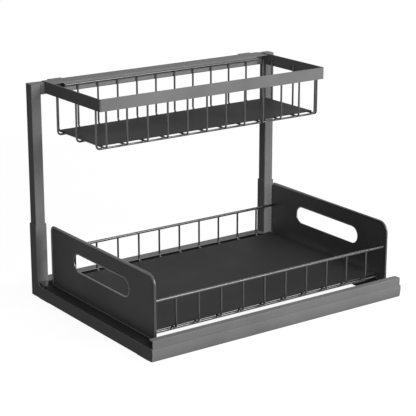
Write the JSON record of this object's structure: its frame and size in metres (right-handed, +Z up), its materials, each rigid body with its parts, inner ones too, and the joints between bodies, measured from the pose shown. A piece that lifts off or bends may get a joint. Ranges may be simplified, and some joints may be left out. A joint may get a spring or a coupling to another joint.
{
  "type": "pull-out cabinet basket",
  "caption": "Two-tier cabinet organiser: a standing frame with a pull-out drawer basket on ball slides and a hanging wire basket above.",
  "frame": {"origin": "centre of the footprint on the surface that the foot pads stand on", "axes": "+X to the right seen from the front, +Y towards the rear posts, +Z up; the drawer pulls out along -Y"},
  "size_m": [0.42, 0.313, 0.3088],
  "materials": {
    "frame_coat": "satin gunmetal-grey powder coat on sheet steel and tube",
    "basket_coat": "satin black powder coat on sheet steel and wire",
    "zinc_steel": "bright zinc plate on rolled steel",
    "ball_steel": "polished bearing steel",
    "rubber": "matt black rubber"
  },
  "bodies": {
    "frame": {"side_rail_left": "frame_coat", "side_rail_right": "frame_coat", "rear_crossbar": "frame_coat", "corner_gussets": "frame_coat", "post_sleeve_left": "frame_coat", "post_sleeve_right": "frame_coat", "post_left": "frame_coat", "post_right": "frame_coat", "top_crossbar": "frame_coat", "post_grub_screws": "zinc_steel", "foot_pads": "rubber", "slide_outer_left": "zinc_steel", "slide_outer_right": "zinc_steel", "slide_bumpers": "rubber"},
    "retainer_left": {"ball_retainer_left": "zinc_steel", "bearing_balls_left": "ball_steel"},
    "retainer_right": {"ball_retainer_right": "zinc_steel", "bearing_balls_right": "ball_steel"},
    "carriage": {"slide_inner_left": "zinc_steel", "slide_inner_right": "zinc_steel", "carriage_shelf_left": "basket_coat", "carriage_shelf_right": "basket_coat", "slide_rivets": "zinc_steel", "front_bar": "frame_coat", "bar_nuts": "zinc_steel"},
    "lower_basket": {"lower_panel_left": "basket_coat", "lower_panel_right": "basket_coat", "lower_front_rail": "basket_coat", "lower_rear_rail": "basket_coat", "lower_cross_wires": "basket_coat", "lower_long_wires": "basket_coat", "lower_floor": "basket_coat"},
    "upper_basket": {"upper_rim": "frame_coat", "upper_hanger_plate": "frame_coat", "upper_rear_rail": "basket_coat", "upper_cross_wires": "basket_coat", "upper_side_wires": "basket_coat", "upper_floor": "basket_coat"}
  },
  "joints": [
    {"name": "drawer_slide", "type": "slide", "parent": "frame", "child": "carriage", "axis": [0, -1, 0], "range_m": [0, 0.2]},
    {"name": "retainer_left_slide", "type": "slide", "parent": "frame", "child": "retainer_left", "axis": [0, -1, 0], "range_m": [0, 0.1]},
    {"name": "retainer_right_slide", "type": "slide", "parent": "frame", "child": "retainer_right", "axis": [0, -1, 0], "range_m": [0, 0.1]},
    {"name": "lower_basket_lift", "type": "slide", "parent": "carriage", "child": "lower_basket", "axis": [0, 0, 1], "range_m": [0, 0.08]},
    {"name": "upper_basket_lift", "type": "slide", "parent": "frame", "child": "upper_basket", "axis": [0, 0, 1], "range_m": [0, 0.04]}
  ],
  "couplings": [
    {"joint": "retainer_left_slide", "follows": "drawer_slide", "ratio": 0.5},
    {"joint": "retainer_right_slide", "follows": "drawer_slide", "ratio": 0.5}
  ]
}
